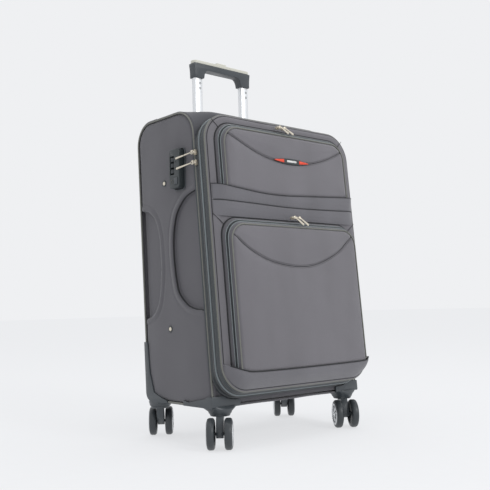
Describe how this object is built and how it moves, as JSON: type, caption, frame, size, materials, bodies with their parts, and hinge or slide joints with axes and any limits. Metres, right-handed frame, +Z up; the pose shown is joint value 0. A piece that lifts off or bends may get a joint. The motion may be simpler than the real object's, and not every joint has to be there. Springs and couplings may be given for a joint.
{
  "type": "softside upright suitcase",
  "caption": "Softside upright suitcase: hinged zip lid with front pockets, telescopic handle, side combination lock and twin-wheel swivel casters.",
  "frame": {"origin": "on the floor under the centre of the whole case's box, as it stands", "axes": "+Z up, +X across the case towards the hinge side of the lid, the front with its pockets faces -Y"},
  "size_m": [0.4666, 0.3272, 0.841],
  "materials": {
    "body_fabric": "dark grey woven polyester, padded",
    "front_fabric": "mid grey fine twill polyester with a satin sheen",
    "lining": "dark lining cloth over a board",
    "zip_tape": "ribbed zip tape and binding",
    "webbing": "dark woven webbing",
    "dark_plastic": "satin dark grey moulding",
    "pale_plastic": "satin warm grey moulding",
    "aluminium": "satin anodised",
    "nickel": "warm nickel plate, lightly worn",
    "tyre": "dark polyurethane tread"
  },
  "bodies": {
    "root": {"top_panel": "body_fabric", "back_panel": "body_fabric", "bottom_panel": "body_fabric", "front_border": "body_fabric", "side_panel_left": "body_fabric", "side_panel_right": "body_fabric", "inner_back_board": "lining", "lock_body": "dark_plastic", "handle_base_bracket": "dark_plastic", "handle_guide_tube_left": "aluminium", "handle_guide_tube_right": "aluminium", "handle_bezel": "dark_plastic", "top_carry_handle": "webbing", "corner_guard_front_left": "dark_plastic", "corner_guard_front_right": "dark_plastic", "corner_guard_rear_left": "dark_plastic", "corner_guard_rear_right": "dark_plastic"},
    "lid": {"lid_gusset": "zip_tape", "lid_front_panel": "front_fabric", "middle_band": "front_fabric", "bottom_band": "front_fabric"},
    "upper_flap": {"upper_pocket_flap": "front_fabric"},
    "lower_flap": {"lower_pocket_flap": "front_fabric"},
    "handle_middle": {"handle_middle_tube_left": "aluminium", "handle_middle_tube_right": "aluminium"},
    "handle_upper": {"handle_upper_tube_left": "aluminium", "handle_upper_tube_right": "aluminium", "grip_body": "dark_plastic", "grip_top_cover": "pale_plastic"},
    "handle_release": {"handle_release_button": "pale_plastic"},
    "lock_button": {"lock_button": "nickel"},
    "upper_pocket_slider_left": {"upper_pocket_slider_left": "nickel"},
    "upper_pocket_pull_left": {"upper_pocket_pull_left": "nickel"},
    "upper_pocket_slider_right": {"upper_pocket_slider_right": "nickel"},
    "upper_pocket_pull_right": {"upper_pocket_pull_right": "nickel"},
    "lower_pocket_slider_left": {"lower_pocket_slider_left": "nickel"},
    "lower_pocket_pull_left": {"lower_pocket_pull_left": "nickel"},
    "lower_pocket_slider_right": {"lower_pocket_slider_right": "nickel"},
    "lower_pocket_pull_right": {"lower_pocket_pull_right": "nickel"},
    "main_slider_upper": {"main_slider_upper": "nickel"},
    "main_pull_upper": {"main_pull_upper": "nickel"},
    "main_slider_lower": {"main_slider_lower": "nickel"},
    "main_pull_lower": {"main_pull_lower": "nickel"},
    "lock_dial_1": {"lock_dial_1": "dark_plastic"},
    "lock_dial_2": {"lock_dial_2": "dark_plastic"},
    "lock_dial_3": {"lock_dial_3": "dark_plastic"},
    "caster_front_left": {"caster_fork_front_left": "dark_plastic"},
    "wheel_front_left_a": {"wheel_front_left_a": "tyre"},
    "wheel_front_left_b": {"wheel_front_left_b": "tyre"},
    "caster_front_right": {"caster_fork_front_right": "dark_plastic"},
    "wheel_front_right_a": {"wheel_front_right_a": "tyre"},
    "wheel_front_right_b": {"wheel_front_right_b": "tyre"},
    "caster_rear_left": {"caster_fork_rear_left": "dark_plastic"},
    "wheel_rear_left_a": {"wheel_rear_left_a": "tyre"},
    "wheel_rear_left_b": {"wheel_rear_left_b": "tyre"},
    "caster_rear_right": {"caster_fork_rear_right": "dark_plastic"},
    "wheel_rear_right_a": {"wheel_rear_right_a": "tyre"},
    "wheel_rear_right_b": {"wheel_rear_right_b": "tyre"}
  },
  "joints": [
    {"name": "lid_hinge", "type": "hinge", "parent": "root", "child": "lid", "pos_m": [0.20442, -0.07895, 0.36372], "axis": [0, 0.0837, 0.9965], "range_deg": [0, 170]},
    {"name": "upper_flap_hinge", "type": "hinge", "parent": "lid", "child": "upper_flap", "pos_m": [-0.00158, -0.12796, 0.50431], "axis": [1, 0, 0], "range_deg": [0, 80]},
    {"name": "lower_flap_hinge", "type": "hinge", "parent": "lid", "child": "lower_flap", "pos_m": [-0.00158, -0.16356, 0.15206], "axis": [1, 0, 0], "range_deg": [0, 80]},
    {"name": "handle_middle_slide", "type": "slide", "parent": "root", "child": "handle_middle", "axis": [0, 0, 1], "range_m": [0, 0.18]},
    {"name": "handle_upper_slide", "type": "slide", "parent": "handle_middle", "child": "handle_upper", "axis": [0, 0, 1], "range_m": [-0.118, 0.1]},
    {"name": "handle_release_press", "type": "slide", "parent": "handle_upper", "child": "handle_release", "axis": [0, 0, 1], "range_m": [-0.004, 0], "stiffness_N_per_m": 500, "springref_m": 0.002},
    {"name": "lock_button_press", "type": "slide", "parent": "root", "child": "lock_button", "axis": [1, 0, 0], "range_m": [0, 0.002], "stiffness_N_per_m": 300, "springref_m": -0.001},
    {"name": "upper_pocket_slider_left_run", "type": "slide", "parent": "upper_flap", "child": "upper_pocket_slider_left", "axis": [1, 0, 0], "range_m": [-0.1, 0]},
    {"name": "upper_pocket_pull_left_swing", "type": "hinge", "parent": "upper_pocket_slider_left", "child": "upper_pocket_pull_left", "pos_m": [-0.02358, -0.12028, 0.64476], "axis": [0, -0.9965, 0.0837], "range_deg": [0, 150]},
    {"name": "upper_pocket_slider_right_run", "type": "slide", "parent": "upper_flap", "child": "upper_pocket_slider_right", "axis": [1, 0, 0], "range_m": [0, 0.12]},
    {"name": "upper_pocket_pull_right_swing", "type": "hinge", "parent": "upper_pocket_slider_right", "child": "upper_pocket_pull_right", "pos_m": [-0.00758, -0.11829, 0.6446], "axis": [0, -0.9965, 0.0837], "range_deg": [0, 150]},
    {"name": "lower_pocket_slider_left_run", "type": "slide", "parent": "lower_flap", "child": "lower_pocket_slider_left", "axis": [1, 0, 0], "range_m": [-0.1, 0]},
    {"name": "lower_pocket_pull_left_swing", "type": "hinge", "parent": "lower_pocket_slider_left", "child": "lower_pocket_pull_left", "pos_m": [-0.00958, -0.14249, 0.45195], "axis": [0, -0.9965, 0.0837], "range_deg": [0, 150]},
    {"name": "lower_pocket_slider_right_run", "type": "slide", "parent": "lower_flap", "child": "lower_pocket_slider_right", "axis": [1, 0, 0], "range_m": [0, 0.12]},
    {"name": "lower_pocket_pull_right_swing", "type": "hinge", "parent": "lower_pocket_slider_right", "child": "lower_pocket_pull_right", "pos_m": [0.00642, -0.1405, 0.45178], "axis": [0, -0.9965, 0.0837], "range_deg": [0, 150]},
    {"name": "main_slider_upper_run", "type": "slide", "parent": "root", "child": "main_slider_upper", "axis": [0, 0.0837, 0.9965], "range_m": [0, 0.012]},
    {"name": "main_pull_upper_swing", "type": "hinge", "parent": "main_slider_upper", "child": "main_pull_upper", "pos_m": [-0.21778, -0.06395, 0.57822], "axis": [0, 0.0837, 0.9965], "range_deg": [0, 150]},
    {"name": "main_slider_lower_run", "type": "slide", "parent": "root", "child": "main_slider_lower", "axis": [0, 0.0837, 0.9965], "range_m": [-0.39, 0]},
    {"name": "main_pull_lower_swing", "type": "hinge", "parent": "main_slider_lower", "child": "main_pull_lower", "pos_m": [-0.21778, -0.06571, 0.55729], "axis": [0, 0.0837, 0.9965], "range_deg": [0, 150]},
    {"name": "lock_dial_1_turn", "type": "hinge", "parent": "root", "child": "lock_dial_1", "pos_m": [-0.21688, -0.0055, 0.572], "axis": [0, 0, 1], "continuous": true},
    {"name": "lock_dial_2_turn", "type": "hinge", "parent": "root", "child": "lock_dial_2", "pos_m": [-0.21688, -0.0055, 0.56], "axis": [0, 0, 1], "continuous": true},
    {"name": "lock_dial_3_turn", "type": "hinge", "parent": "root", "child": "lock_dial_3", "pos_m": [-0.21688, -0.0055, 0.548], "axis": [0, 0, 1], "continuous": true},
    {"name": "caster_front_left_swivel", "type": "hinge", "parent": "root", "child": "caster_front_left", "pos_m": [-0.17958, -0.0915, 0.06], "axis": [0, 0, 1], "continuous": true},
    {"name": "wheel_front_left_a_spin", "type": "hinge", "parent": "caster_front_left", "child": "wheel_front_left_a", "pos_m": [-0.19698, -0.11082, 0.03], "axis": [0.7431, -0.6691, 0], "continuous": true},
    {"name": "wheel_front_left_b_spin", "type": "hinge", "parent": "caster_front_left", "child": "wheel_front_left_b", "pos_m": [-0.19698, -0.11082, 0.03], "axis": [0.7431, -0.6691, 0], "continuous": true},
    {"name": "caster_front_right_swivel", "type": "hinge", "parent": "root", "child": "caster_front_right", "pos_m": [0.17342, -0.0885, 0.06], "axis": [0, 0, 1], "continuous": true},
    {"name": "wheel_front_right_a_spin", "type": "hinge", "parent": "caster_front_right", "child": "wheel_front_right_a", "pos_m": [0.15888, -0.11005, 0.03], "axis": [0.829, -0.5592, 0], "continuous": true},
    {"name": "wheel_front_right_b_spin", "type": "hinge", "parent": "caster_front_right", "child": "wheel_front_right_b", "pos_m": [0.15888, -0.11005, 0.03], "axis": [0.829, -0.5592, 0], "continuous": true},
    {"name": "caster_rear_left_swivel", "type": "hinge", "parent": "root", "child": "caster_rear_left", "pos_m": [-0.18358, 0.1065, 0.06], "axis": [0, 0, 1], "continuous": true},
    {"name": "wheel_rear_left_a_spin", "type": "hinge", "parent": "caster_rear_left", "child": "wheel_rear_left_a", "pos_m": [-0.16758, 0.12699, 0.03], "axis": [-0.788, 0.6157, 0], "continuous": true},
    {"name": "wheel_rear_left_b_spin", "type": "hinge", "parent": "caster_rear_left", "child": "wheel_rear_left_b", "pos_m": [-0.16758, 0.12699, 0.03], "axis": [-0.788, 0.6157, 0], "continuous": true},
    {"name": "caster_rear_right_swivel", "type": "hinge", "parent": "root", "child": "caster_rear_right", "pos_m": [0.18042, 0.1065, 0.06], "axis": [0, 0, 1], "continuous": true},
    {"name": "wheel_rear_right_a_spin", "type": "hinge", "parent": "caster_rear_right", "child": "wheel_rear_right_a", "pos_m": [0.19713, 0.12642, 0.03], "axis": [-0.766, 0.6428, 0], "continuous": true},
    {"name": "wheel_rear_right_b_spin", "type": "hinge", "parent": "caster_rear_right", "child": "wheel_rear_right_b", "pos_m": [0.19713, 0.12642, 0.03], "axis": [-0.766, 0.6428, 0], "continuous": true}
  ]
}
